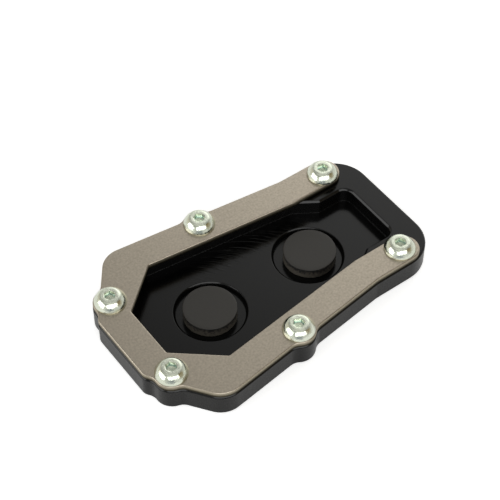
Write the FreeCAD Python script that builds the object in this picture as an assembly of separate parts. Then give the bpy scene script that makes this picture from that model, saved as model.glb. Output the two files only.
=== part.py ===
import FreeCAD, Part
import math
import os

# Foot pad for a motorcycle side stand, in millimetres. The stand's own foot sits in the pocket of the
# machined base, on two rubber discs, and the U-shaped plate on top clamps it there with six screws.
# The origin is on the underside, at the middle of the length and width. X runs from the wide end to
# the neck end, Y across, Z up, and both halves are mirror images about the XZ plane.

# Machined base: the outline of one half is straight runs between corners, measured before rounding
base_length = 97.3
base_height = 7.5
wide_end_flat = 22.9
haunch_run = 14.3
haunch_width = 61.8
neck_width = 47.2
neck_run = 24.1
wide_end_corner_radius = 3.0
haunch_corner_radius = 7.4
taper_bend_radius = 8.0
neck_corner_radius = 11.2
base_edge_chamfer = 0.5

# Button-head screws, M5 with a hexagon socket
screw_diameter = 5.0
screw_length = 8.0
head_diameter = 9.5
head_height = 2.75
head_edge_height = 0.3
head_flat_diameter = 5.7
socket_across_flats = 3.0
socket_depth = 1.6
socket_turn_step = 23.0
thread_clearance = 0.1
tapped_hole_countersink = 0.4

# Where the screws stand: along X from an end face, and in from the outline's straight edge
end_screw_run = 6.8
end_screw_inset = 3.2
middle_screw_run = 43.9
middle_screw_inset = 3.1
neck_screw_run = 11.7
neck_screw_inset = 5.3
lobe_margin = 0.4
lobe_blend_radius = 4.0

# Clamp plate, laser cut from sheet
plate_thickness = 2.0
plate_end_strip = 9.6
plate_haunch_strip = 9.8
plate_neck_strip = 9.5
plate_mouth_run = 25.3
plate_tip_run = 5.9
plate_setback = 0.1
plate_inner_flat = 17.7
plate_inner_haunch_run = 22.9
plate_inner_corner_radius = 1.0
plate_bend_radius = 6.0
plate_hole_clearance = 0.5

# Pocket for the stand's foot: its walls stand back under the clamp plate by the lip
pocket_depth = 5.0
clamp_lip = 1.7
pocket_corner_radius = 3.0
neck_wall_step = 2.9
neck_end_wall = 7.9
shoulder_setback = 18.2
pocket_rim_chamfer = 0.6
shoulder_corner_rounding = 0.4

# Round recesses in the pocket floor and the rubber discs in them
recess_diameter = 21.0
recess_depth = 1.5
recess_rim_chamfer = 0.4
first_recess_run = 30.7
recess_spacing = 35.4
disc_diameter = 16.0
disc_thickness = 3.5
wide_end_disc_slip = -0.25
neck_end_disc_slip = 0.6

# Worked out from the sizes above
wide_end = -base_length / 2
neck_end = base_length / 2
head_radius = head_diameter / 2
lobe_radius = head_radius + lobe_margin
base_top = base_height
plate_top = base_top + plate_thickness
pocket_floor = base_top - pocket_depth
recess_floor = pocket_floor - recess_depth

# Cutters stand this far out of the surface they cut, and points or edges this close count as one
overcut = 1.0
same_point = 1e-6
same_edge = 1e-4


def vector(x, y, z=0.0):
    return FreeCAD.Vector(x, y, z)


def left_of(direction):
    return vector(-direction.y, direction.x)


def meeting_point(point_a, direction_a, point_b, direction_b):
    """Where two straight lines of the plan cross."""
    gap = point_b - point_a
    turn = direction_a.x * direction_b.y - direction_a.y * direction_b.x
    along = (gap.x * direction_b.y - gap.y * direction_b.x) / turn
    return point_a + direction_a * along


def offset_chain(points, distance):
    """The chain of straight runs moved to its right by a distance, with its corners met again."""
    runs = []
    for start, end in zip(points, points[1:]):
        direction = (end - start).normalize()
        shift = left_of(direction) * -distance
        runs.append((start + shift, end + shift, direction))
    moved = [runs[0][0]]
    for before, after in zip(runs, runs[1:]):
        moved.append(meeting_point(before[0], before[2], after[0], after[2]))
    moved.append(runs[-1][1])
    return moved


def arc(start, middle, end):
    return Part.Arc(start, middle, end).toShape()


def line(start, end):
    return Part.LineSegment(start, end).toShape()


def corner_arc(before, corner, after, radius):
    """The arc that rounds a corner, as its first, middle and last point, in the room between two points."""
    room = min((before - corner).Length, (after - corner).Length)
    towards_before = (before - corner).normalize()
    towards_after = (after - corner).normalize()
    half_angle = towards_before.getAngle(towards_after) / 2
    tangent = min(radius / math.tan(half_angle), room)
    bisector = (towards_before + towards_after).normalize()
    middle = corner + bisector * (tangent / math.cos(half_angle) - tangent * math.tan(half_angle))
    return corner + towards_before * tangent, middle, corner + towards_after * tangent


def lobe_arcs(start, end, centre, radius, blend):
    """Three arcs that carry a straight run round a screw: blend, lobe, blend."""
    direction = (end - start).normalize()
    outward = left_of(direction)
    reach = (centre - start).dot(direction)
    inset = -(centre - start).dot(outward)
    half_span = math.sqrt((radius + blend) ** 2 - (inset + blend) ** 2)
    arcs = []
    for side in (-1, 1):
        foot = start + direction * (reach + side * half_span)
        blend_centre = foot + outward * blend
        inner = (centre - blend_centre).normalize()
        touch = blend_centre + inner * blend
        middle = blend_centre + (inner - outward).normalize() * blend
        arcs.append((foot, middle, touch) if side < 0 else (touch, middle, foot))
    crown = centre + outward * radius
    return [arcs[0], (arcs[0][2], crown, arcs[1][0]), arcs[1]]


def chain_edges(points, radii, lobes):
    """Edges of a chain of runs, with rounded corners and lobes; lobes go by the number of their run."""
    bulges = {number: lobe_arcs(points[number], points[number + 1], *lobe) for number, lobe in lobes.items()}
    arcs = []
    for number in range(len(points) - 1):
        arcs += bulges.get(number, [])
        if number < len(radii):
            before = arcs[-1][2] if arcs else points[0]
            after = bulges[number + 1][0][0] if number + 1 in bulges else points[number + 2]
            arcs.append(corner_arc(before, points[number + 1], after, radii[number]))
    edges = []
    place = points[0]
    for start, middle, end in arcs:
        if (start - place).Length > same_point:
            edges.append(line(place, start))
        edges.append(arc(start, middle, end))
        place = end
    if (points[-1] - place).Length > same_point:
        edges.append(line(place, points[-1]))
    return edges


def mirrored(edges):
    return [edge.mirror(vector(0, 0), vector(0, 1)) for edge in edges]


def mirrored_face(half_edges):
    """A face from the edges of its upper half."""
    ordered = Part.__sortEdges__(half_edges + mirrored(half_edges))
    return Part.Face(Part.Wire(ordered))


def prism(face, bottom, top):
    solid = face.extrude(vector(0, 0, top - bottom)).removeSplitter()
    solid.translate(vector(0, 0, bottom))
    return solid


def cylinder(diameter, bottom, top, x, y=0.0):
    return Part.makeCylinder(diameter / 2, top - bottom, vector(x, y, bottom))


def cone(bottom_diameter, top_diameter, bottom, top, x, y=0.0):
    return Part.makeCone(bottom_diameter / 2, top_diameter / 2, top - bottom, vector(x, y, bottom))


def hexagon_face(across_flats):
    corner = across_flats / 2 / math.cos(math.pi / 6)
    angles = [math.pi / 3 * number for number in range(6)]
    points = [vector(corner * math.cos(angle), corner * math.sin(angle)) for angle in angles]
    return Part.Face(Part.makePolygon(points + points[:1]))


def edges_on(solid, face, height):
    """The edges of a solid that lie on a face's boundary, at one height."""
    boundary = face.OuterWire.copy()
    boundary.translate(vector(0, 0, height))
    found = []
    for edge in solid.Edges:
        middle = Part.Vertex(edge.valueAt((edge.FirstParameter + edge.LastParameter) / 2))
        if middle.distToShape(boundary)[0] < same_edge:
            found.append(edge)
    return found


def base_chain():
    """Corners of the base's half outline, from the middle of the wide end to the neck's end corner."""
    return [
        vector(wide_end, 0),
        vector(wide_end, wide_end_flat / 2),
        vector(wide_end + haunch_run, haunch_width / 2),
        vector(neck_end - neck_run, neck_width / 2),
        vector(neck_end, neck_width / 2),
    ]


def inside_run(start, end, x, inset):
    """A point at x along the length, set in from a straight run of the outline."""
    direction = (end - start).normalize()
    on_run = start - left_of(direction) * inset
    return on_run + direction * ((x - on_run.x) / direction.x)


def half_screw_places():
    """Screws of the upper half: wide end, middle, neck."""
    chain = base_chain()
    return [
        inside_run(chain[1], chain[2], wide_end + end_screw_run, end_screw_inset),
        inside_run(chain[2], chain[3], wide_end + middle_screw_run, middle_screw_inset),
        inside_run(chain[3], chain[4], neck_end - neck_screw_run, neck_screw_inset),
    ]


def screw_places():
    upper = half_screw_places()
    return upper + [vector(place.x, -place.y) for place in upper]


def outline_lobes(inset):
    wide_end_screw, middle_screw, _ = half_screw_places()
    radius = lobe_radius - inset
    blend = lobe_blend_radius + inset
    return {1: (wide_end_screw, radius, blend), 2: (middle_screw, radius, blend)}


def base_face():
    chain = base_chain() + [vector(neck_end, 0)]
    radii = [wide_end_corner_radius, haunch_corner_radius, taper_bend_radius, neck_corner_radius]
    return mirrored_face(chain_edges(chain, radii, outline_lobes(0)))


def plate_inner_chain():
    """Corners of the plate's inner edge, from the middle of the wide end to the neck's tip."""
    _, _, taper_start, taper_end, _ = base_chain()
    end_x = wide_end + plate_end_strip
    mouth_y = neck_width / 2 - plate_neck_strip
    return [
        vector(end_x, 0),
        vector(end_x, plate_inner_flat / 2),
        inside_run(taper_start, taper_end, wide_end + plate_inner_haunch_run, plate_haunch_strip),
        vector(neck_end - plate_mouth_run, mouth_y),
        vector(neck_end, mouth_y),
    ]


def plate_face():
    """The U: the base's outline set back a little, a full round at each tip, and the inner edge."""
    outer = offset_chain(base_chain(), plate_setback)
    outer_radii = [
        wide_end_corner_radius - plate_setback,
        haunch_corner_radius - plate_setback,
        taper_bend_radius - plate_setback,
    ]
    inner = plate_inner_chain()
    tip_radius = (outer[-1].y - inner[-1].y) / 2
    tip_end = vector(neck_end - plate_tip_run, inner[-1].y + tip_radius)
    tip_centre = tip_end - vector(tip_radius, 0)
    outer[-1] = tip_centre + vector(0, tip_radius)
    inner[-1] = tip_centre - vector(0, tip_radius)
    inner_radii = [plate_inner_corner_radius, plate_inner_corner_radius, plate_bend_radius]
    half = chain_edges(outer, outer_radii, outline_lobes(plate_setback))
    half.append(arc(outer[-1], tip_end, inner[-1]))
    half += chain_edges(inner, inner_radii, {})
    return mirrored_face(half)


def pocket_face():
    """The pocket: under the plate's lip in its wide part, and narrower past a shoulder in the neck."""
    plate_edge = plate_inner_chain()
    chain = offset_chain(plate_edge, -clamp_lip)[:-1]
    pocket_end = neck_end - neck_end_wall
    neck_wall_y = plate_edge[-1].y - neck_wall_step
    chain += [
        vector(neck_end - shoulder_setback, neck_wall_y),
        vector(pocket_end, neck_wall_y),
        vector(pocket_end, 0),
    ]
    wall = pocket_corner_radius
    shoulder = pocket_rim_chamfer + shoulder_corner_rounding
    return mirrored_face(chain_edges(chain, [wall, wall, wall, shoulder, wall], {}))


def recess_places():
    first = wide_end + first_recess_run
    return [first, first + recess_spacing]


def base():
    outline = base_face()
    pocket = pocket_face()
    solid = prism(outline, 0, base_top)
    rims = edges_on(solid, outline, 0) + edges_on(solid, outline, base_top)
    solid = solid.makeChamfer(base_edge_chamfer, rims)
    solid = solid.cut(prism(pocket, pocket_floor, base_top + overcut))
    solid = solid.makeChamfer(pocket_rim_chamfer, edges_on(solid, pocket, base_top))
    rim = recess_diameter + 2 * recess_rim_chamfer
    for x in recess_places():
        solid = solid.cut(cylinder(recess_diameter, recess_floor, pocket_floor, x))
        solid = solid.cut(cone(recess_diameter, rim, pocket_floor - recess_rim_chamfer, pocket_floor, x))
    bore = screw_diameter + thread_clearance
    mouth = bore + 2 * tapped_hole_countersink
    for place in screw_places():
        solid = solid.cut(cylinder(bore, 0, base_top, place.x, place.y))
        solid = solid.cut(cone(mouth, bore, 0, tapped_hole_countersink, place.x, place.y))
    return solid


def clamp_plate():
    solid = prism(plate_face(), base_top, plate_top)
    hole = screw_diameter + plate_hole_clearance
    for place in screw_places():
        solid = solid.cut(cylinder(hole, base_top, plate_top, place.x, place.y))
    return solid


def dome_arc(rim, crown):
    """The arc between two points of a sphere that is centred on the screw's axis."""
    centre_height = (rim.dot(rim) - crown.dot(crown)) / (2 * (rim.z - crown.z))
    centre = vector(0, 0, centre_height)
    radius = (rim - centre).Length
    middle = centre + (rim + crown - centre * 2).normalize() * radius
    return arc(rim, middle, crown)


def screw():
    """One screw with the underside of its head at the origin."""
    shank = screw_diameter / 2
    rim = vector(head_radius, 0, head_edge_height)
    crown = vector(head_flat_diameter / 2, 0, head_height)
    profile = [
        vector(0, 0, -screw_length),
        vector(shank, 0, -screw_length),
        vector(shank, 0, 0),
        vector(head_radius, 0, 0),
        rim,
    ]
    edges = [line(start, stop) for start, stop in zip(profile, profile[1:])]
    edges.append(dome_arc(rim, crown))
    top = vector(0, 0, head_height)
    edges += [line(crown, top), line(top, profile[0])]
    solid = Part.Face(Part.Wire(edges)).revolve(vector(0, 0), vector(0, 0, 1), 360)
    socket_floor = head_height - socket_depth
    return solid.cut(prism(hexagon_face(socket_across_flats), socket_floor, head_height + overcut))


def clamp_screws():
    solids = []
    for number, place in enumerate(screw_places()):
        copy = screw()
        copy.rotate(vector(0, 0), vector(0, 0, 1), number * socket_turn_step)
        copy.translate(vector(place.x, place.y, plate_top))
        solids.append(copy)
    return Part.makeCompound(solids)


def rubber_disc(x):
    """A punched disc that stands on its recess floor."""
    return cylinder(disc_diameter, recess_floor, recess_floor + disc_thickness, x)


def main():
    wide_end_recess, neck_end_recess = recess_places()
    pieces = {
        "base": base(),
        "clamp_plate": clamp_plate(),
        "clamp_screws": clamp_screws(),
        "wide_end_rubber_disc": rubber_disc(wide_end_recess + wide_end_disc_slip),
        "neck_end_rubber_disc": rubber_disc(neck_end_recess + neck_end_disc_slip),
    }
    os.makedirs("parts", exist_ok=True)
    for name, shape in pieces.items():
        shape.exportStep("parts/" + name + ".step")
        print(name, "solids", len(shape.Solids), "valid", shape.isValid(), "volume", round(shape.Volume, 1))


main()
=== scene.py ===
import math

import bmesh
import bpy
from bpy.props import FloatProperty, FloatVectorProperty, IntProperty, PointerProperty
from mathutils import Euler, Matrix, Vector, noise


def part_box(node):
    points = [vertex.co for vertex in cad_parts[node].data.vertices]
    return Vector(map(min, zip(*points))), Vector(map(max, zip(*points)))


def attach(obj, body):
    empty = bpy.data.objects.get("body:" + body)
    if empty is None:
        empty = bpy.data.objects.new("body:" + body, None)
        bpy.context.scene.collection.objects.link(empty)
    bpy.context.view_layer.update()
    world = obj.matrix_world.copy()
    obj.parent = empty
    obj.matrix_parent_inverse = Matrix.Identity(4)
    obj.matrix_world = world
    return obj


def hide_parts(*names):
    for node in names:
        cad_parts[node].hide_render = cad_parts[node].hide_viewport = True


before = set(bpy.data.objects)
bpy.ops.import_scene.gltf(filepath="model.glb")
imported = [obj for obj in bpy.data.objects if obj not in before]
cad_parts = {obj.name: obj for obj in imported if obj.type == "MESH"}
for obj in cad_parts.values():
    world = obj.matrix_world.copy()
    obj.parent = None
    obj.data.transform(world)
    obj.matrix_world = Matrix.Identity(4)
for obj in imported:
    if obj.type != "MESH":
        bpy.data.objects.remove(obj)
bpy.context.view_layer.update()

bl_info = {
    "name": "Kickstand pad",
    "version": (1, 0, 0),
    "blender": (4, 5, 0),
    "location": "3D View > Sidebar > Kickstand pad",
    "description": "Dresses a kickstand pad: machined base, clamp plate, screws, rubber discs and a stage",
    "category": "Object",
}

# The part's own millimetre in Blender's metres
MM = 0.001

# Points this close count as one, and heights this close as level
same_place = 0.001 * MM

disc_nodes = ("wide_end_rubber_disc", "neck_end_rubber_disc")


def linear(hex_colour):
    """A colour written as sRGB hex, as the linear values that Blender works in."""
    channels = [int(hex_colour[place:place + 2], 16) / 255 for place in (1, 3, 5)]
    return tuple(c / 12.92 if c <= 0.04045 else ((c + 0.055) / 1.055) ** 2.4 for c in channels)


def length(name, description, millimetres):
    """A length that a user may change, given in millimetres."""
    return FloatProperty(
        name=name, description=description, default=millimetres * MM, unit="LENGTH", precision=6)


def angle(name, description, degrees):
    """An angle that a user may change, given in degrees."""
    return FloatProperty(
        name=name, description=description, default=math.radians(degrees), subtype="ANGLE")


def whole_number(name, description, default):
    """A count that a user may change."""
    return IntProperty(name=name, description=description, default=default)


def colour(name, description, hex_colour):
    """A colour that a user may change, given as sRGB hex."""
    return FloatVectorProperty(
        name=name, description=description, default=linear(hex_colour), subtype="COLOR", min=0.0, max=1.0)


class PadSizes(bpy.types.PropertyGroup):
    base_edge_rounding: length("Base edge rounding", "Softening of the anodised base's edges", 0.12)
    recess_chamfer: length("Recess chamfer", "Chamfer round the recess that each disc lies in", 0.7)
    plate_edge_rounding: length("Plate edge rounding", "Tumbled rounding of the plate's cut edges", 0.4)
    disc_edge_rounding: length("Disc edge rounding", "Rounding of a disc's punched top edge", 0.3)
    disc_waist: length("Disc waist", "How far a punched disc's side draws in at half its height", 0.12)
    disc_tear_depth: length("Disc tear depth", "Roughness of a disc's punched side", 0.08)
    disc_tear_size: length("Disc tear size", "Width of the torn spots on a disc's side", 0.7)
    disc_side_rows: whole_number("Disc side rows", "Rows of faces up a disc's side", 10)
    disc_steps: whole_number("Disc steps", "Faces round a disc", 160)
    head_flat_diameter: length("Head flat diameter", "Flat crown of a screw's head", 5.7)
    head_edge_height: length("Head edge height", "Height of a head's rim below its dome", 0.3)
    head_edge_rounding: length("Head edge rounding", "Softening of a head's edges", 0.1)
    crown_rounding: length("Crown rounding", "Softening between a head's dome and its flat crown", 0.5)
    dome_steps: whole_number("Dome steps", "Rows of faces up a head's dome", 14)
    screw_steps: whole_number("Screw steps", "Faces round a screw", 72)
    thread_diameter: length("Thread diameter", "Outer diameter of the screw thread", 5.0)
    thread_pitch: length("Thread pitch", "Rise of the screw thread in one turn", 0.8)
    thread_depth: length("Thread depth", "From the thread's crest to its root", 0.45)
    socket_across_flats: length("Socket across flats", "Size of the key that turns the screws", 3.0)
    socket_depth: length("Socket depth", "Depth of the hexagon socket", 1.6)
    socket_turn: angle("Socket turn", "How much further each screw is turned than the one before", 23.0)


class PadColours(bpy.types.PropertyGroup):
    anodised: colour("Anodised black", "Dyed oxide of the base", "#040404")
    stainless: colour("Stainless", "Satin sheet of the clamp plate", "#cdc2b1")
    cut_edge: colour("Cut edge", "Tumbled laser-cut edge of the clamp plate", "#bdb4a0")
    # Painted shade on the lower part of the plate's cut edge, where it meets the base
    painted_edge_shade: colour("Burnt edge", "Oxide on the lower part of the cut edge", "#3a3526")
    zinc: colour("Zinc", "Bright plate of the screws", "#eef2e3")
    zinc_bloom: colour("Zinc bloom", "Passivated patches of the screws", "#dde4d0")
    # The dip's blue-green together with painted shade, for a socket's lowest crease
    crease_tint_and_shade: colour("Pooled zinc", "Passivated zinc in the lowest crease of a socket", "#bdd3ca")
    rubber: colour("Rubber", "Face of the punched discs", "#282520")
    torn_rubber: colour("Torn rubber", "Side of the punched discs", "#080704")
    floor: colour("Floor", "Studio floor", "#f2f2f2")


class PadStage(bpy.types.PropertyGroup):
    azimuth: angle("Camera azimuth", "Direction that the camera stands in, from -Y towards +X", -36.563)
    elevation: angle("Camera elevation", "Height of the camera above the horizon", 50.127)
    roll: angle("Camera roll", "Turn of the camera about its own line of sight", 0.165)
    distance: length("Camera distance", "From the camera to the point it looks at", 440.5)
    target: FloatVectorProperty(
        name="Camera target", description="Point at the picture's middle", subtype="XYZ", unit="LENGTH",
        default=(2.28 * MM, 8.36 * MM, 7.5 * MM))
    focal_length: FloatProperty(
        name="Focal length", description="Lens on a 36 mm sensor, in millimetres", default=108.075)
    lamp_distance: length("Lamp distance", "From the softboxes to the object", 900.0)
    lamp_radiance: FloatProperty(
        name="Lamp radiance", description="Brightness of the softboxes, where 1 is white", default=2.3)
    walls: colour("Walls", "Tone of the studio's walls", "#dcdcda")
    ceiling: colour("Ceiling", "Tone of the studio's ceiling", "#80807e")
    floor_lift: FloatProperty(
        name="Floor lift", description="What lifts the floor to white for the camera", default=0.52)
    gloss_lift: FloatProperty(
        name="Gloss lift", description="What lifts the floor for mirrored and clear surfaces",
        default=0.1)


# Softboxes: azimuth from the camera and elevation in degrees, width and height in metres
softboxes = (
    ("right_softbox", 17.0, 39.0, 1.18, 0.40),
    ("left_softbox", -70.0, 23.0, 0.80, 0.40),
)

# Soft patches of the room: azimuth from the camera, elevation, the angles at which a patch is whole and
# gone, in degrees, and what it adds to the room's tone
room_tones = (
    (165.0, 32.0, 5.0, 30.0, (1.00, 1.00, 0.98)),
    (80.0, 28.0, 8.0, 30.0, (-0.22, -0.27, -0.34)),
    (-118.0, 22.0, 8.0, 28.0, (0.04, 0.00, -0.05)),
    (1.0, 7.0, 12.0, 30.0, (-0.36, -0.34, -0.30)),
    (0.0, 86.0, 5.0, 36.0, (0.45, 0.45, 0.43)),
)


def feed(tree, node, inputs):
    """Sets a node's inputs, each to a value or to another node's output."""
    for socket, value in inputs.items():
        if isinstance(value, bpy.types.NodeSocket):
            tree.links.new(value, node.inputs[socket])
        else:
            node.inputs[socket].default_value = value


def add_node(tree, kind, inputs=None, **settings):
    """Adds a node with its settings and inputs."""
    node = tree.nodes.new(kind)
    for name, value in settings.items():
        setattr(node, name, value)
    feed(tree, node, inputs or {})
    return node


def new_material(name):
    """An empty material, its node tree and its surface shader."""
    material = bpy.data.materials.new(name)
    material.use_nodes = True
    tree = material.node_tree
    return material, tree, tree.nodes["Principled BSDF"]


def opaque(rgb, share=1.0):
    """A colour, or a darker or lighter share of it, as an opaque one."""
    return (*(channel * share for channel in rgb), 1.0)


def milled_anodised_aluminium(colours):
    """Aluminium, milled and dyed black in the anodising bath.

    The oxide is a clear glassy skin over black, so it is dark where it mirrors dark things and pale where
    it mirrors pale ones, and the cutter's fine arcs break that reflection up.
    """
    material, tree, shader = new_material("milled_black_anodised_aluminium")
    place = add_node(tree, "ShaderNodeTexCoord").outputs["Object"]
    grit = add_node(
        tree, "ShaderNodeTexNoise", {"Vector": place, "Scale": 1 / (0.35 * MM), "Detail": 3.0})
    cloud = add_node(tree, "ShaderNodeTexNoise", {"Vector": place, "Scale": 1 / (14 * MM), "Detail": 2.0})
    tint = add_node(
        tree, "ShaderNodeMixRGB",
        {"Fac": cloud.outputs["Fac"], "Color1": opaque(colours.anodised),
         "Color2": opaque(colours.anodised, 0.6)})
    facing_way = add_node(tree, "ShaderNodeNewGeometry").outputs["True Normal"]
    facing_up = add_node(tree, "ShaderNodeSeparateXYZ", {"Vector": facing_way}).outputs["Z"]
    level = add_node(tree, "ShaderNodeMapRange", {"Value": facing_up, "From Min": 0.8, "From Max": 0.95})
    # The side of the cutter leaves the walls duller than the chamfers and the level faces
    dullest = add_node(
        tree, "ShaderNodeMapRange",
        {"Value": facing_up, "From Min": 0.3, "From Max": 0.6, "To Min": 0.4, "To Max": 0.22})
    gloss = add_node(
        tree, "ShaderNodeMapRange",
        {"Value": grit.outputs["Fac"], "To Min": 0.13, "To Max": dullest.outputs["Result"]})
    # Hair-like arcs that the last pass left on the pocket's floor along one long wall, drawn coarser than
    # the real feed, which would be too fine to show
    cutter, track = 30 * MM, -8 * MM
    streak_width, streak_draw = 0.9 * MM, 0.08
    axes = add_node(tree, "ShaderNodeSeparateXYZ", {"Vector": place}).outputs
    across = add_node(tree, "ShaderNodeMath", {0: axes["Y"], 1: track}, operation="SUBTRACT")
    across = add_node(tree, "ShaderNodeMath", {0: across.outputs[0], 1: 0.0}, operation="MAXIMUM")
    across = add_node(tree, "ShaderNodeMath", {0: across.outputs[0], 1: 2.0}, operation="POWER")
    along = add_node(tree, "ShaderNodeMath", {0: cutter ** 2, 1: across.outputs[0]}, operation="SUBTRACT")
    along = add_node(tree, "ShaderNodeMath", {0: along.outputs[0], 1: 0.0}, operation="MAXIMUM")
    along = add_node(tree, "ShaderNodeMath", {0: along.outputs[0]}, operation="SQRT")
    along = add_node(tree, "ShaderNodeMath", {0: axes["X"], 1: along.outputs[0]}, operation="SUBTRACT")
    drawn_out = add_node(tree, "ShaderNodeMath", {0: axes["Y"], 1: streak_draw}, operation="MULTIPLY")
    lay = add_node(tree, "ShaderNodeCombineXYZ", {"X": along.outputs[0], "Y": drawn_out.outputs[0]})
    arcs = add_node(
        tree, "ShaderNodeTexNoise",
        {"Vector": lay.outputs["Vector"], "Scale": 1 / streak_width, "Detail": 3.0})
    arcs = add_node(
        tree, "ShaderNodeMapRange", {"Value": arcs.outputs["Fac"], "From Min": 0.5, "From Max": 0.66})
    arcs = add_node(
        tree, "ShaderNodeMath", {0: arcs.outputs["Result"], 1: level.outputs["Result"]},
        operation="MULTIPLY")
    # Where the arcs start and are whole: along the pocket, towards its wall and down to its floor
    traces = {"X": (-18 * MM, 0.0), "Y": (9 * MM, 14 * MM), "Z": (3.0 * MM, 2.6 * MM)}
    for axis, (start, whole) in traces.items():
        share = add_node(
            tree, "ShaderNodeMapRange", {"Value": axes[axis], "From Min": start, "From Max": whole})
        arcs = add_node(
            tree, "ShaderNodeMath", {0: arcs.outputs[0], 1: share.outputs["Result"]}, operation="MULTIPLY")
    milled = add_node(
        tree, "ShaderNodeBump", {"Height": arcs.outputs[0], "Strength": 1.0, "Distance": 0.052 * MM})
    bump = add_node(
        tree, "ShaderNodeBump",
        {"Height": grit.outputs["Fac"], "Strength": 0.12, "Distance": 0.02 * MM,
         "Normal": milled.outputs["Normal"]})
    feed(tree, shader, {
        "Base Color": tint.outputs["Color"], "Roughness": gloss.outputs["Result"],
        "Normal": bump.outputs["Normal"], "IOR": 1.4})
    return material


def satin_stainless_sheet(colours):
    """Stainless sheet as rolled and lightly blasted: a soft warm grey with a fine even grain."""
    material, tree, shader = new_material("satin_stainless_sheet")
    place = add_node(tree, "ShaderNodeTexCoord").outputs["Object"]
    grain = add_node(
        tree, "ShaderNodeTexNoise", {"Vector": place, "Scale": 1 / (0.6 * MM), "Detail": 4.0})
    tint = add_node(
        tree, "ShaderNodeMixRGB",
        {"Fac": grain.outputs["Fac"], "Color1": opaque(colours.stainless),
         "Color2": opaque(colours.stainless, 0.5)})
    gloss = add_node(
        tree, "ShaderNodeMapRange", {"Value": grain.outputs["Fac"], "To Min": 0.26, "To Max": 0.38})
    bump = add_node(
        tree, "ShaderNodeBump", {"Height": grain.outputs["Fac"], "Strength": 0.6, "Distance": 0.03 * MM})
    feed(tree, shader, {
        "Base Color": tint.outputs["Color"], "Roughness": gloss.outputs["Result"],
        "Normal": bump.outputs["Normal"], "Metallic": 1.0})
    return material


def laser_cut_stainless(colours, underside):
    """The plate's cut edge: fine upright lines, with painted shade that turns its lower part dark brown."""
    material, tree, shader = new_material("laser_cut_stainless")
    place = add_node(tree, "ShaderNodeTexCoord").outputs["Object"]
    upright = add_node(tree, "ShaderNodeMapping", {"Vector": place, "Scale": (1.0, 1.0, 0.12)})
    lines = add_node(
        tree, "ShaderNodeTexNoise",
        {"Vector": upright.outputs["Vector"], "Scale": 1 / (0.3 * MM), "Detail": 3.0})
    bump = add_node(
        tree, "ShaderNodeBump", {"Height": lines.outputs["Fac"], "Strength": 0.4, "Distance": 0.03 * MM})
    tint = add_node(
        tree, "ShaderNodeMixRGB",
        {"Fac": lines.outputs["Fac"], "Color1": opaque(colours.cut_edge),
         "Color2": opaque(colours.cut_edge, 0.7)})
    height = add_node(tree, "ShaderNodeSeparateXYZ", {"Vector": place}).outputs["Z"]
    # Painted shade: dark brown at the cut edge's foot, fading to the edge's own tone higher up, where the
    # plate meets the base
    shade_whole_up_to, shade_gone_from = underside + 0.6 * MM, underside + 1.5 * MM
    unshaded_share = add_node(
        tree, "ShaderNodeMapRange", {"Value": height, "From Min": shade_whole_up_to, "From Max": shade_gone_from})
    tint = add_node(
        tree, "ShaderNodeMixRGB",
        {"Fac": unshaded_share.outputs["Result"], "Color1": opaque(colours.painted_edge_shade),
         "Color2": tint.outputs["Color"]})
    feed(tree, shader, {
        "Base Color": tint.outputs["Color"], "Normal": bump.outputs["Normal"], "Metallic": 1.0,
        "Roughness": 0.6})
    return material


def bright_zinc_plated_steel(colours):
    """Steel with a bright zinc plate: near mirror, with a faint olive bloom from the passivating dip.

    The dip's blue-green and painted shade both darken the crease at the bottom of each socket.
    """
    material, tree, shader = new_material("bright_zinc_plated_steel")
    place = add_node(tree, "ShaderNodeTexCoord").outputs["Object"]
    bloom = add_node(tree, "ShaderNodeTexNoise", {"Vector": place, "Scale": 1 / (5 * MM), "Detail": 2.0})
    tint = add_node(
        tree, "ShaderNodeMixRGB",
        {"Fac": bloom.outputs["Fac"], "Color1": opaque(colours.zinc), "Color2": opaque(colours.zinc_bloom)})
    # Painted shade and the dip's blue-green in the lowest crease of each socket
    crease_shade_share = add_node(tree, "ShaderNodeAttribute", attribute_name="socket_crease").outputs["Fac"]
    tint = add_node(
        tree, "ShaderNodeMixRGB",
        {"Fac": crease_shade_share, "Color1": tint.outputs["Color"], "Color2": opaque(colours.crease_tint_and_shade)})
    grain = add_node(
        tree, "ShaderNodeTexNoise", {"Vector": place, "Scale": 1 / (0.8 * MM), "Detail": 4.0})
    # The forged crown is duller than the rolled dome
    facing_way = add_node(tree, "ShaderNodeNewGeometry").outputs["True Normal"]
    facing_up = add_node(tree, "ShaderNodeSeparateXYZ", {"Vector": facing_way}).outputs["Z"]
    dullest = add_node(
        tree, "ShaderNodeMapRange",
        {"Value": facing_up, "From Min": 0.75, "From Max": 0.95, "To Min": 0.22, "To Max": 0.45})
    gloss = add_node(
        tree, "ShaderNodeMapRange",
        {"Value": grain.outputs["Fac"], "To Min": 0.12, "To Max": dullest.outputs["Result"]})
    bump = add_node(
        tree, "ShaderNodeBump", {"Height": grain.outputs["Fac"], "Strength": 1.0, "Distance": 0.06 * MM})
    feed(tree, shader, {
        "Base Color": tint.outputs["Color"], "Roughness": gloss.outputs["Result"],
        "Normal": bump.outputs["Normal"], "Metallic": 1.0})
    return material


def punched_rubber(colours):
    """Black rubber sheet: a matt, faintly warm face with a fine talc bloom."""
    material, tree, shader = new_material("punched_black_rubber")
    place = add_node(tree, "ShaderNodeTexCoord").outputs["Object"]
    grain = add_node(
        tree, "ShaderNodeTexNoise", {"Vector": place, "Scale": 1 / (0.5 * MM), "Detail": 4.0})
    tint = add_node(
        tree, "ShaderNodeMixRGB",
        {"Fac": grain.outputs["Fac"], "Color1": opaque(colours.rubber),
         "Color2": opaque(colours.rubber, 0.7)})
    bump = add_node(
        tree, "ShaderNodeBump", {"Height": grain.outputs["Fac"], "Strength": 0.4, "Distance": 0.05 * MM})
    feed(tree, shader, {
        "Base Color": tint.outputs["Color"], "Normal": bump.outputs["Normal"], "Roughness": 0.45,
        "IOR": 1.52})
    return material


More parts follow.
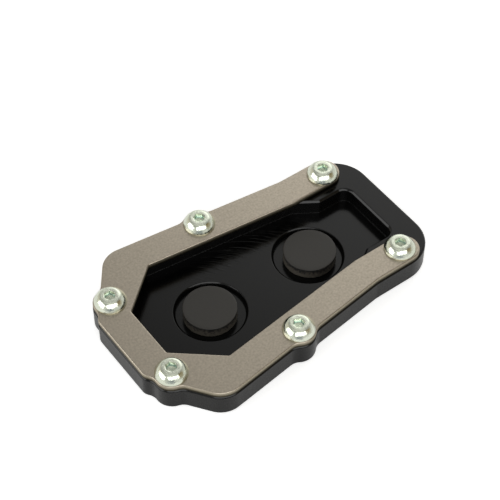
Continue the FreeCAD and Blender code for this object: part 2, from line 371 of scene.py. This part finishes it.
def torn_rubber_side(colours, underside, top):
    """The side that the punch tore: dark pits in the sheet's own tone, and fewer of them lower down."""
    material, tree, shader = new_material("torn_black_rubber")
    place = add_node(tree, "ShaderNodeTexCoord").outputs["Object"]
    pits = add_node(tree, "ShaderNodeTexNoise", {"Vector": place, "Scale": 1 / (0.5 * MM), "Detail": 2.0})
    height = add_node(tree, "ShaderNodeSeparateXYZ", {"Vector": place}).outputs["Z"]
    low_share = add_node(
        tree, "ShaderNodeMapRange",
        {"Value": height, "From Min": underside + 0.2 * MM, "From Max": top - 0.3 * MM,
         "To Min": 0.22, "To Max": -0.14})
    share = add_node(
        tree, "ShaderNodeMath", {0: pits.outputs["Fac"], 1: low_share.outputs["Result"]}, operation="ADD")
    spots = add_node(
        tree, "ShaderNodeMapRange", {"Value": share.outputs[0], "From Min": 0.48, "From Max": 0.53})
    tint = add_node(
        tree, "ShaderNodeMixRGB",
        {"Fac": spots.outputs["Result"], "Color1": opaque(colours.torn_rubber),
         "Color2": opaque(colours.rubber, 2.6)})
    bump = add_node(
        tree, "ShaderNodeBump", {"Height": pits.outputs["Fac"], "Strength": 0.7, "Distance": 0.12 * MM})
    feed(tree, shader, {
        "Base Color": tint.outputs["Color"], "Normal": bump.outputs["Normal"], "Roughness": 0.7,
        "IOR": 1.52})
    return material


def plain_mesh(piece):
    """Turns a piece's modifiers into plain mesh."""
    evaluated = piece.evaluated_get(bpy.context.evaluated_depsgraph_get())
    mesh = bpy.data.meshes.new_from_object(evaluated)
    piece.modifiers.clear()
    piece.data = mesh
    mesh.name = piece.name


def new_piece(name, build):
    """An object from a bmesh, which is used up."""
    mesh = bpy.data.meshes.new(name)
    build.to_mesh(mesh)
    build.free()
    piece = bpy.data.objects.new(name, mesh)
    bpy.context.scene.collection.objects.link(piece)
    return piece


def merged_copy(node):
    """A bmesh with a CAD node's form: its triangles joined, and flat faces made whole."""
    build = bmesh.new()
    build.from_mesh(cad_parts[node].data)
    bmesh.ops.remove_doubles(build, verts=build.verts, dist=same_place)
    bmesh.ops.dissolve_limit(
        build, angle_limit=math.radians(0.2), use_dissolve_boundaries=False, verts=build.verts,
        edges=build.edges)
    return build


def mark_sharp_edges(build):
    """Gives every sharp edge a weight, so that only these are rounded, and inner corners less."""
    sharp, outer_weight, inner_weight = math.radians(30), 1.0, 0.7
    weight = build.edges.layers.float.new("bevel_weight_edge")
    for edge in build.edges:
        if edge.is_manifold and edge.calc_face_angle() > sharp:
            edge[weight] = outer_weight if edge.is_convex else inner_weight


def keep_flats(piece):
    """Shades a piece smoothly, with the largest face at a point setting the way it faces there."""
    piece.data.shade_smooth()
    weighted = piece.modifiers.new("flat shading", "WEIGHTED_NORMAL")
    weighted.mode = "FACE_AREA"
    weighted.keep_sharp = True
    weighted.weight = 100


def soften_edges(piece, width, segments):
    """Rounds the marked edges, and keeps flat faces flat in the shading."""
    bevel = piece.modifiers.new("edge rounding", "BEVEL")
    bevel.width = width
    bevel.segments = segments
    bevel.limit_method = "WEIGHT"
    bevel.use_clamp_overlap = False
    keep_flats(piece)
    plain_mesh(piece)


def finish_sheet(piece, face_finish, side_finish):
    """Gives a flat piece one finish on its faces and another on its sides."""
    level = 0.5
    piece.data.materials.append(face_finish)
    piece.data.materials.append(side_finish)
    for face in piece.data.polygons:
        face.material_index = 0 if abs(face.normal.z) >= level else 1


def dress(piece, node):
    """Lets a finished piece stand for its CAD node."""
    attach(piece, "root")
    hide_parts(node)


def ring(build, radius, height, count):
    """A level ring of points round the Z axis; the radius is a number or a function of the turn."""
    points = []
    for step in range(count):
        turn = 2 * math.pi * step / count
        reach = radius(turn) if callable(radius) else radius
        points.append(build.verts.new((reach * math.cos(turn), reach * math.sin(turn), height)))
    return points


def bridge(build, before, after):
    """Faces between two rings of as many points."""
    for here in range(len(before)):
        beside = (here + 1) % len(before)
        build.faces.new((before[here], before[beside], after[beside], after[here]))


def turned(build, profile, first, count):
    """A turned surface through (radius, height) pairs, from a given first ring; returns its last ring."""
    here = first
    for radius, height in profile:
        after = ring(build, radius, height, count)
        bridge(build, here, after)
        here = after
    return here


def close_top(build, points, height):
    """A shallow cone or flat that closes a ring upwards."""
    centre = build.verts.new((0.0, 0.0, height))
    for here in range(len(points)):
        build.faces.new((points[here], points[(here + 1) % len(points)], centre))


def close_bottom(build, points, height):
    """A shallow cone or flat that closes a ring downwards."""
    centre = build.verts.new((0.0, 0.0, height))
    for here in range(len(points)):
        build.faces.new((points[(here + 1) % len(points)], points[here], centre))


def curve_through(start, control, end, steps):
    """Points of a quadratic curve between two (radius, height) pairs, both ends included."""
    points = []
    for step in range(steps + 1):
        t = step / steps
        points.append(tuple(
            (1 - t) ** 2 * a + 2 * t * (1 - t) * b + t ** 2 * c for a, b, c in zip(start, control, end)))
    return points


# How far a recess reaches from the middle of its disc at most, as a share of the disc's width
recess_reach = 0.75


def widen_recess_rims(build, chamfer):
    """Draws the wall of each disc's recess in from its rim to a wider chamfer.

    A disc need not lie in the middle of its recess.
    """
    for node in disc_nodes:
        lowest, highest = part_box(node)
        inside = (lowest + highest).to_2d() / 2
        reach = recess_reach * (highest.x - lowest.x)
        recess = [point for point in build.verts
                  if (point.co.to_2d() - inside).length < reach and point.co.z > lowest.z - same_place]
        across, along = zip(*(point.co.to_2d() for point in recess))
        middle = Vector((min(across) + max(across), min(along) + max(along))) / 2
        top = max(point.co.z for point in recess)
        wall = max((point.co.to_2d() - middle).length for point in recess) - chamfer
        for point in recess:
            if point.co.z < top - same_place:
                place = middle + (point.co.to_2d() - middle).normalized() * wall
                height = top - chamfer if point.co.z > lowest.z + same_place else point.co.z
                point.co = (place.x, place.y, height)


class OBJECT_OT_pad_base(bpy.types.Operator):
    """Machined base with softened edges"""
    bl_idname = "object.pad_base"
    bl_label = "Base"

    def execute(self, context):
        sizes = context.scene.pad_sizes
        build = merged_copy("base")
        widen_recess_rims(build, sizes.recess_chamfer)
        mark_sharp_edges(build)
        piece = new_piece("machined_base", build)
        soften_edges(piece, sizes.base_edge_rounding, segments=2)
        piece.data.materials.append(milled_anodised_aluminium(context.scene.pad_colours))
        dress(piece, "base")
        return {"FINISHED"}


def rim_loops(build, height):
    """The rims of a sheet's face at one height, each a list of points with the metal on its left."""
    after = {}
    for face in build.faces:
        if all(abs(point.co.z - height) < same_place for point in face.verts):
            for corner in face.loops:
                beside = corner.link_loop_radial_next.face
                if any(abs(point.co.z - height) >= same_place for point in beside.verts):
                    after[corner.vert.index] = corner.link_loop_next.vert.index
    places = [point.co.copy() for point in build.verts]
    loops = []
    while after:
        start, point = after.popitem()
        loop = [places[start]]
        while point != start:
            loop.append(places[point])
            point = after.pop(point)
        loops.append(loop)
    return loops


def inset_ways(loop):
    """For each point of a loop, the way to its left that keeps both of its edges at an even distance."""
    ways = []
    for number, point in enumerate(loop):
        before = (point - loop[number - 1]).to_2d().normalized()
        after = (loop[(number + 1) % len(loop)] - point).to_2d().normalized()
        left = Vector((-before.y - after.y, before.x + after.x)).normalized()
        ways.append((left / left.dot(Vector((-before.y, before.x)))).to_3d())
    return ways


def rounded_sheet(node, rounding, steps=5):
    """A flat sheet with a CAD node's outline and holes, and a quarter round along every rim."""
    flat = bmesh.new()
    flat.from_mesh(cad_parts[node].data)
    bmesh.ops.remove_doubles(flat, verts=flat.verts, dist=same_place)
    flat.verts.index_update()
    low, high = (corner.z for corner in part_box(node))
    loops = rim_loops(flat, high)
    flat.free()
    leans = [math.pi / 2 * step / steps for step in range(steps + 1)]
    quarter = [(rounding * (1 - math.sin(lean)), rounding * (1 - math.cos(lean))) for lean in leans]
    rows = [(inset, low + rise) for inset, rise in quarter]
    rows += [(inset, high - rise) for inset, rise in reversed(quarter)]
    build = bmesh.new()
    rims = ([], [])
    for loop in loops:
        ways = inset_ways(loop)
        rings = []
        for inset, height in rows:
            places = [point + way * inset for point, way in zip(loop, ways)]
            rings.append([build.verts.new((place.x, place.y, height)) for place in places])
        for before, after in zip(rings, rings[1:]):
            bridge(build, before, after)
        for rim, points in zip(rims, (rings[0], rings[-1])):
            rim += [build.edges.get(pair) for pair in zip(points, points[1:] + points[:1])]
    for rim in rims:
        bmesh.ops.triangle_fill(build, edges=rim, use_beauty=True)
    bmesh.ops.recalc_face_normals(build, faces=build.faces)
    return build


class OBJECT_OT_pad_clamp_plate(bpy.types.Operator):
    """Clamp plate with tumbled edges"""
    bl_idname = "object.pad_clamp_plate"
    bl_label = "Clamp plate"

    def execute(self, context):
        sizes = context.scene.pad_sizes
        colours = context.scene.pad_colours
        piece = new_piece("clamp_sheet", rounded_sheet("clamp_plate", sizes.plate_edge_rounding))
        keep_flats(piece)
        plain_mesh(piece)
        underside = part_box("clamp_plate")[0].z
        finish_sheet(piece, satin_stainless_sheet(colours), laser_cut_stainless(colours, underside))
        dress(piece, "clamp_plate")
        return {"FINISHED"}


def loose_boxes(node):
    """Lowest and highest corner of each loose solid of a CAD node, in the same order each run."""
    build = bmesh.new()
    build.from_mesh(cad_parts[node].data)
    bmesh.ops.remove_doubles(build, verts=build.verts, dist=same_place)
    waiting = set(build.verts)
    boxes = []
    for first in build.verts:
        if first not in waiting:
            continue
        waiting.remove(first)
        front = [first]
        reached = [first]
        while front:
            point = front.pop()
            for edge in point.link_edges:
                other = edge.other_vert(point)
                if other in waiting:
                    waiting.remove(other)
                    front.append(other)
                    reached.append(other)
        corners = [point.co.copy() for point in reached]
        boxes.append((Vector(map(min, zip(*corners))), Vector(map(max, zip(*corners)))))
    build.free()
    return boxes


def screw_thread(build, radius, depth, pitch, bottom, top, count):
    """A right-handed thread between two heights; returns its bottom and top rings."""
    # One turn's flanks, from root to crest and back, as shares of the pitch and of the depth
    shape = ((0.06, 0.0), (0.44, 1.0), (0.56, 1.0), (0.94, 0.0))
    # The turns start this far below the bottom, so that the last column of points still reaches it
    laps_below = 2
    end_radius = radius - depth
    low = ring(build, end_radius, bottom, count)
    high = ring(build, end_radius, top, count)
    rows = len(shape) * (math.ceil((top - bottom) / pitch) + laps_below + 1)
    columns = []
    for step in range(count):
        turn = 2 * math.pi * step / count
        column = []
        for row in range(rows):
            lap, part = divmod(row, len(shape))
            height = bottom + pitch * (lap - laps_below + shape[part][0] + step / count)
            if height <= bottom:
                column.append(low[step])
            elif height >= top:
                column.append(high[step])
            else:
                run_out = min(height - bottom, top - height)
                reach = min(end_radius + depth * shape[part][1], end_radius + run_out)
                column.append(build.verts.new((reach * math.cos(turn), reach * math.sin(turn), height)))
        columns.append(column)
    for step in range(count):
        here = columns[step]
        beside = columns[(step + 1) % count]
        shift = len(shape) if step + 1 == count else 0
        for row in range(rows - 1):
            corners = [here[row]]
            for other in (row + shift, row + 1 + shift):
                corners.append(beside[other] if other < rows else high[(step + 1) % count])
            corners.append(here[row + 1])
            unique = list(dict.fromkeys(corners))
            if len(unique) > 2:
                build.faces.new(unique)
    return low, high


def hexagon_reach(across_flats):
    """Distance from a hexagon's middle to its side, as a function of the turn."""
    side = math.pi / 3
    return lambda turn: across_flats / 2 / math.cos(turn % side - side / 2)


def button_head_screw(head_radius, head_height, shank_length, sizes):
    """One screw with the underside of its head at the origin: thread, head and hexagon socket."""
    build = bmesh.new()
    count = sizes.screw_steps
    rim_steps, crown_steps = 3, 10
    low, high = screw_thread(
        build, sizes.thread_diameter / 2, sizes.thread_depth, sizes.thread_pitch, -shank_length, 0.0,
        count)
    close_bottom(build, low, -shank_length)
    edge = sizes.head_edge_rounding
    rim = Vector((head_radius, sizes.head_edge_height))
    crown = Vector((sizes.head_flat_diameter / 2, head_height))
    middle = (rim.dot(rim) - crown.dot(crown)) / (2 * (rim.y - crown.y))
    dome_radius = math.hypot(rim.x, rim.y - middle)
    start = math.atan2(rim.x, rim.y - middle)
    stop = math.atan2(crown.x, crown.y - middle)
    arc = dome_radius * (start - stop)
    first, last = edge / arc, 1 - sizes.crown_rounding / arc
    dome = []
    for step in range(sizes.dome_steps + 1):
        lean = start + (stop - start) * (first + (last - first) * step / sizes.dome_steps)
        dome.append((dome_radius * math.sin(lean), middle + dome_radius * math.cos(lean)))
    flat = crown.x - sizes.crown_rounding
    mouth = sizes.socket_across_flats / 2 / math.cos(math.pi / 6) + edge / 3
    hexagon = hexagon_reach(sizes.socket_across_flats)
    floor = head_height - sizes.socket_depth
    # The hole that was drilled before the socket was pressed: its radius and the depth of its point
    drill = sizes.socket_across_flats * 0.42
    drill_point = sizes.socket_across_flats * 0.15
    profile = [(head_radius - edge, 0.0), (head_radius, edge)]
    profile += curve_through((head_radius, rim.y - edge / 2), tuple(rim), dome[0], rim_steps)
    profile += dome[1:]
    profile += curve_through(dome[-1], tuple(crown), (flat, head_height), crown_steps)[1:]
    profile += [(flat - edge / 2, head_height), (mouth + edge, head_height)]
    profile += [(mouth + edge / 4, head_height), (mouth, head_height - edge / 8)]
    profile += [(hexagon, head_height - 0.8 * edge), (hexagon, floor), (drill, floor)]
    socket_end = turned(build, profile, high, count)
    close_top(build, socket_end, floor - drill_point)
    # The socket's lowest crease, which gets painted shade and the dip's blue-green
    crease = build.verts.layers.float.new("socket_crease")
    for point in build.verts:
        if abs(point.co.z - floor) < same_place and drill + same_place < point.co.to_2d().length < mouth:
            point[crease] = 1.0
    return build


def screw_pattern():
    """Geometry nodes that stand one screw on every point, each turned by its own attribute."""
    tree = bpy.data.node_groups.new("screw pattern", "GeometryNodeTree")
    sockets = {}
    for name, kind in (("Geometry", "NodeSocketGeometry"), ("Screw", "NodeSocketObject"),
                       ("Finish", "NodeSocketMaterial")):
        sockets[name] = tree.interface.new_socket(name, in_out="INPUT", socket_type=kind).identifier
    tree.interface.new_socket("Geometry", in_out="OUTPUT", socket_type="NodeSocketGeometry")
    given = add_node(tree, "NodeGroupInput").outputs
    screw = add_node(tree, "GeometryNodeObjectInfo", {"Object": given["Screw"]})
    turn = add_node(tree, "GeometryNodeInputNamedAttribute", {"Name": "turn"}, data_type="FLOAT")
    rotation = add_node(
        tree, "FunctionNodeAxisAngleToRotation",
        {"Axis": (0.0, 0.0, 1.0), "Angle": turn.outputs["Attribute"]})
    placed = add_node(
        tree, "GeometryNodeInstanceOnPoints",
        {"Points": given["Geometry"], "Instance": screw.outputs["Geometry"],
         "Rotation": rotation.outputs["Rotation"]})
    whole = add_node(tree, "GeometryNodeRealizeInstances", {"Geometry": placed.outputs["Instances"]})
    finished = add_node(
        tree, "GeometryNodeSetMaterial",
        {"Geometry": whole.outputs["Geometry"], "Material": given["Finish"]})
    add_node(tree, "NodeGroupOutput", {"Geometry": finished.outputs["Geometry"]})
    return tree, sockets


class OBJECT_OT_pad_screws(bpy.types.Operator):
    """Six button-head screws with hexagon sockets and a rolled thread"""
    bl_idname = "object.pad_screws"
    bl_label = "Screws"

    def execute(self, context):
        sizes = context.scene.pad_sizes
        boxes = loose_boxes("clamp_screws")
        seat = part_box("clamp_plate")[1].z
        lowest, highest = boxes[0]
        head_radius = (highest.x - lowest.x) / 2
        screw = new_piece(
            "one_screw", button_head_screw(head_radius, highest.z - seat, seat - lowest.z, sizes))
        middles = [(low + high) / 2 for low, high in boxes]
        middles.sort(key=lambda middle: (middle.y < 0, middle.x))
        points = bmesh.new()
        turn = points.verts.layers.float.new("turn")
        for number, middle in enumerate(middles):
            point = points.verts.new((middle.x, middle.y, seat))
            point[turn] = number * sizes.socket_turn
        piece = new_piece("button_head_screws", points)
        tree, sockets = screw_pattern()
        pattern = piece.modifiers.new("screw pattern", "NODES")
        pattern.node_group = tree
        pattern[sockets["Screw"]] = screw
        pattern[sockets["Finish"]] = bright_zinc_plated_steel(context.scene.pad_colours)
        plain_mesh(piece)
        bpy.data.objects.remove(screw)
        if len(piece.data.polygons) == 0:
            raise RuntimeError("the screw pattern gave no mesh")
        piece.data.set_sharp_from_angle(angle=math.radians(40))
        keep_flats(piece)
        plain_mesh(piece)
        dress(piece, "clamp_screws")
        return {"FINISHED"}


def punched_disc(node, sizes):
    """A disc punched from sheet: a soft edge on top, and a side that is drawn in and torn a little."""
    lowest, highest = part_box(node)
    middle = (lowest + highest) / 2
    radius = (highest.x - lowest.x) / 2
    height = highest.z - lowest.z
    edge = sizes.disc_edge_rounding
    count = sizes.disc_steps
    edge_steps, face_rings = 5, (0.85, 0.55, 0.25)
    build = bmesh.new()

    def torn(level):
        waist = sizes.disc_waist * math.sin(math.pi * level / height)

        def reach(turn):
            spot = Vector((radius * math.cos(turn), radius * math.sin(turn), level))
            tear = (1 + noise.noise(spot / sizes.disc_tear_size)) / 2
            return radius - waist - sizes.disc_tear_depth * tear
        return reach

    low_edge = edge / 3
    rows = sizes.disc_side_rows
    side = [low_edge + (height - edge - low_edge) * row / rows for row in range(rows + 1)]
    bottom = ring(build, radius - low_edge - sizes.disc_tear_depth, 0.0, count)
    close_bottom(build, bottom, 0.0)
    profile = [(torn(level), level) for level in side]
    shoulder = radius - sizes.disc_tear_depth / 2
    rounding = curve_through(
        (shoulder, height - edge), (shoulder, height), (shoulder - edge, height), edge_steps)
    profile += rounding[1:]
    profile += [(shoulder * share, height) for share in face_rings]
    top = turned(build, profile, bottom, count)
    close_top(build, top, height)
    bmesh.ops.translate(build, verts=build.verts, vec=(middle.x, middle.y, lowest.z))
    return build


class OBJECT_OT_pad_discs(bpy.types.Operator):
    """Two punched rubber discs"""
    bl_idname = "object.pad_discs"
    bl_label = "Rubber discs"

    def execute(self, context):
        sizes = context.scene.pad_sizes
        colours = context.scene.pad_colours
        underside, top = (corner.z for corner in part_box(disc_nodes[0]))
        face_finish = punched_rubber(colours)
        side_finish = torn_rubber_side(colours, underside, top)
        for node in disc_nodes:
            piece = new_piece(node.replace("rubber", "punched"), punched_disc(node, sizes))
            piece.data.shade_smooth()
            piece.data.set_sharp_from_angle(angle=math.radians(60))
            finish_sheet(piece, face_finish, side_finish)
            dress(piece, node)
        return {"FINISHED"}


def stage_floor(colours, stage):
    """Plain white floor that keeps the shadow: it is lit as paint, and lifted to white for the eye."""
    reach = 3.0
    below = 0.02 * MM
    build = bmesh.new()
    corners = [(-reach, -reach), (reach, -reach), (reach, reach), (-reach, reach)]
    build.faces.new([build.verts.new((x, y, -below)) for x, y in corners])
    floor = new_piece("floor", build)
    material, tree, shader = new_material("white_floor")
    tree.nodes.remove(shader)
    path = add_node(tree, "ShaderNodeLightPath").outputs
    mirrored = add_node(
        tree, "ShaderNodeMath", {0: path["Is Glossy Ray"], 1: path["Is Transmission Ray"]},
        operation="MAXIMUM")
    mirrored = add_node(
        tree, "ShaderNodeMath", {0: mirrored.outputs[0], 1: stage.gloss_lift}, operation="MULTIPLY")
    lift = add_node(
        tree, "ShaderNodeMath", {0: path["Is Camera Ray"], 1: stage.floor_lift, 2: mirrored.outputs[0]},
        operation="MULTIPLY_ADD")
    glow = add_node(tree, "ShaderNodeEmission", {"Strength": lift.outputs[0]})
    paint = add_node(tree, "ShaderNodeBsdfDiffuse", {"Color": opaque(colours.floor)})
    both = add_node(tree, "ShaderNodeAddShader", {0: glow.outputs[0], 1: paint.outputs[0]})
    feed(tree, tree.nodes["Material Output"], {"Surface": both.outputs[0]})
    floor.data.materials.append(material)


def facing(azimuth, elevation):
    """Turn of something that looks back at the object from a direction, as the camera does."""
    return Euler((math.pi / 2 - elevation, 0.0, azimuth)).to_matrix()


def studio_world(stage):
    """White behind the object for the eye, and the room's softer tones all round for light and gloss."""
    world = bpy.data.worlds.new("studio")
    world.use_nodes = True
    tree = world.node_tree
    way = add_node(tree, "ShaderNodeTexCoord").outputs["Generated"]
    height = add_node(tree, "ShaderNodeSeparateXYZ", {"Vector": way}).outputs["Z"]
    room = add_node(
        tree, "ShaderNodeMixRGB",
        {"Fac": height, "Color1": opaque(stage.walls), "Color2": opaque(stage.ceiling)},
        use_clamp=True).outputs["Color"]
    for azimuth, elevation, inner, outer, change in room_tones:
        turn = facing(stage.azimuth + math.radians(azimuth), math.radians(elevation))
        near = add_node(
            tree, "ShaderNodeVectorMath", {0: way, 1: turn @ Vector((0.0, 0.0, 1.0))},
            operation="DOT_PRODUCT")
        share = add_node(
            tree, "ShaderNodeMapRange",
            {"Value": near.outputs["Value"], "From Min": math.cos(math.radians(outer)),
             "From Max": math.cos(math.radians(inner))},
            interpolation_type="SMOOTHSTEP")
        tone = add_node(
            tree, "ShaderNodeVectorMath", {0: change, "Scale": share.outputs["Result"]},
            operation="SCALE")
        room = add_node(
            tree, "ShaderNodeVectorMath", {0: room, 1: tone.outputs["Vector"]},
            operation="ADD").outputs["Vector"]
    seen = add_node(tree, "ShaderNodeLightPath").outputs["Is Camera Ray"]
    colour_seen = add_node(
        tree, "ShaderNodeMixRGB", {"Fac": seen, "Color1": room, "Color2": (1.0, 1.0, 1.0, 1.0)})
    feed(tree, tree.nodes["Background"], {"Color": colour_seen.outputs["Color"]})
    bpy.context.scene.world = world


def softbox(name, azimuth, elevation, distance, width, height, radiance):
    """A lamp that faces the object from a direction; its radiance is 1 where it looks white."""
    lamp = bpy.data.lights.new(name, "AREA")
    lamp.shape = "RECTANGLE"
    lamp.size = width
    lamp.size_y = height
    lamp.energy = radiance * math.pi * width * height
    stand = bpy.data.objects.new(name, lamp)
    turn = facing(azimuth, elevation)
    stand.location = turn @ Vector((0.0, 0.0, distance))
    stand.rotation_euler = turn.to_euler()
    bpy.context.scene.collection.objects.link(stand)


def stage_camera(stage):
    """The camera that the picture is taken with."""
    camera = bpy.data.objects.new("camera", bpy.data.cameras.new("camera"))
    camera.data.sensor_width = 36.0
    camera.data.lens = stage.focal_length
    camera.data.clip_start = 0.01
    turn = facing(stage.azimuth, stage.elevation)
    camera.location = Vector(stage.target) + turn @ Vector((0.0, 0.0, stage.distance))
    camera.rotation_euler = (turn @ Matrix.Rotation(stage.roll, 3, "Z")).to_euler()
    bpy.context.scene.collection.objects.link(camera)
    bpy.context.scene.camera = camera


class OBJECT_OT_pad_stage(bpy.types.Operator):
    """Plain floor, soft light and the camera"""
    bl_idname = "object.pad_stage"
    bl_label = "Stage"

    def execute(self, context):
        stage = context.scene.pad_stage
        stage_floor(context.scene.pad_colours, stage)
        studio_world(stage)
        for name, azimuth, elevation, width, height in softboxes:
            softbox(
                name, stage.azimuth + math.radians(azimuth), math.radians(elevation), stage.lamp_distance,
                width, height, stage.lamp_radiance)
        stage_camera(stage)
        context.scene.view_settings.view_transform = "Standard"
        return {"FINISHED"}


class VIEW3D_PT_pad(bpy.types.Panel):
    bl_label = "Kickstand pad"
    bl_space_type = "VIEW_3D"
    bl_region_type = "UI"
    bl_category = "Kickstand pad"

    def draw(self, context):
        for operator in operators:
            self.layout.operator(operator.bl_idname)
        for group in (context.scene.pad_sizes, context.scene.pad_colours, context.scene.pad_stage):
            box = self.layout.box()
            for name in group.bl_rna.properties.keys():
                if name not in ("rna_type", "name"):
                    box.prop(group, name)


operators = (
    OBJECT_OT_pad_base,
    OBJECT_OT_pad_clamp_plate,
    OBJECT_OT_pad_screws,
    OBJECT_OT_pad_discs,
    OBJECT_OT_pad_stage,
)
groups = {"pad_sizes": PadSizes, "pad_colours": PadColours, "pad_stage": PadStage}


def register():
    for new_class in (*groups.values(), *operators, VIEW3D_PT_pad):
        bpy.utils.register_class(new_class)
    for name, group in groups.items():
        setattr(bpy.types.Scene, name, PointerProperty(type=group))


def unregister():
    for name in groups:
        delattr(bpy.types.Scene, name)
    for old_class in (VIEW3D_PT_pad, *operators, *groups.values()):
        bpy.utils.unregister_class(old_class)


def main():
    register()
    bpy.ops.object.pad_base()
    bpy.ops.object.pad_clamp_plate()
    bpy.ops.object.pad_screws()
    bpy.ops.object.pad_discs()
    bpy.ops.object.pad_stage()


if __name__ == "__main__":
    main()
